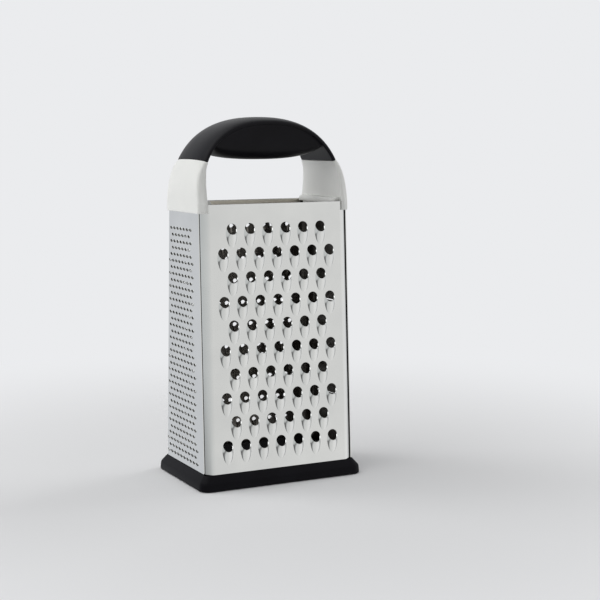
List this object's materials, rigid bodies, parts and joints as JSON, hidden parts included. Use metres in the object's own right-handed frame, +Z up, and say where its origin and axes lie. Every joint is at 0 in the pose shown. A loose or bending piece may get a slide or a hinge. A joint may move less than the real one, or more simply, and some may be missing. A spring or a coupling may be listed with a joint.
{
  "type": "box grater",
  "caption": "Box grater: tapering open box of punched steel sheets with coarse, medium, fine and slicing faces, an arched handle with a soft grip, and a non-slip foot",
  "frame": {"origin": "centre of the foot, on the floor", "axes": "+Z up; the coarse face looks along -Y; +X to the right seen from the front; the fine side faces -X"},
  "size_m": [0.1132, 0.0776, 0.2314],
  "materials": {
    "steel": "bright polished stainless sheet",
    "white_plastic": "satin",
    "soft_grip": "matte soft touch",
    "soft_foot": "matte",
    "frame_plastic": "matte",
    "screw_steel": "plain"
  },
  "bodies": {
    "root": {"coarse_panel": "steel", "medium_panel": "steel", "fine_panel": "steel", "slicer_panel": "steel", "handle_frame": "white_plastic", "grip_cover": "soft_grip", "foot_ring": "soft_foot", "base_frame": "frame_plastic", "left_clamp_bar": "white_plastic", "right_clamp_bar": "white_plastic", "clamp_screws": "screw_steel"}
  },
  "joints": []
}
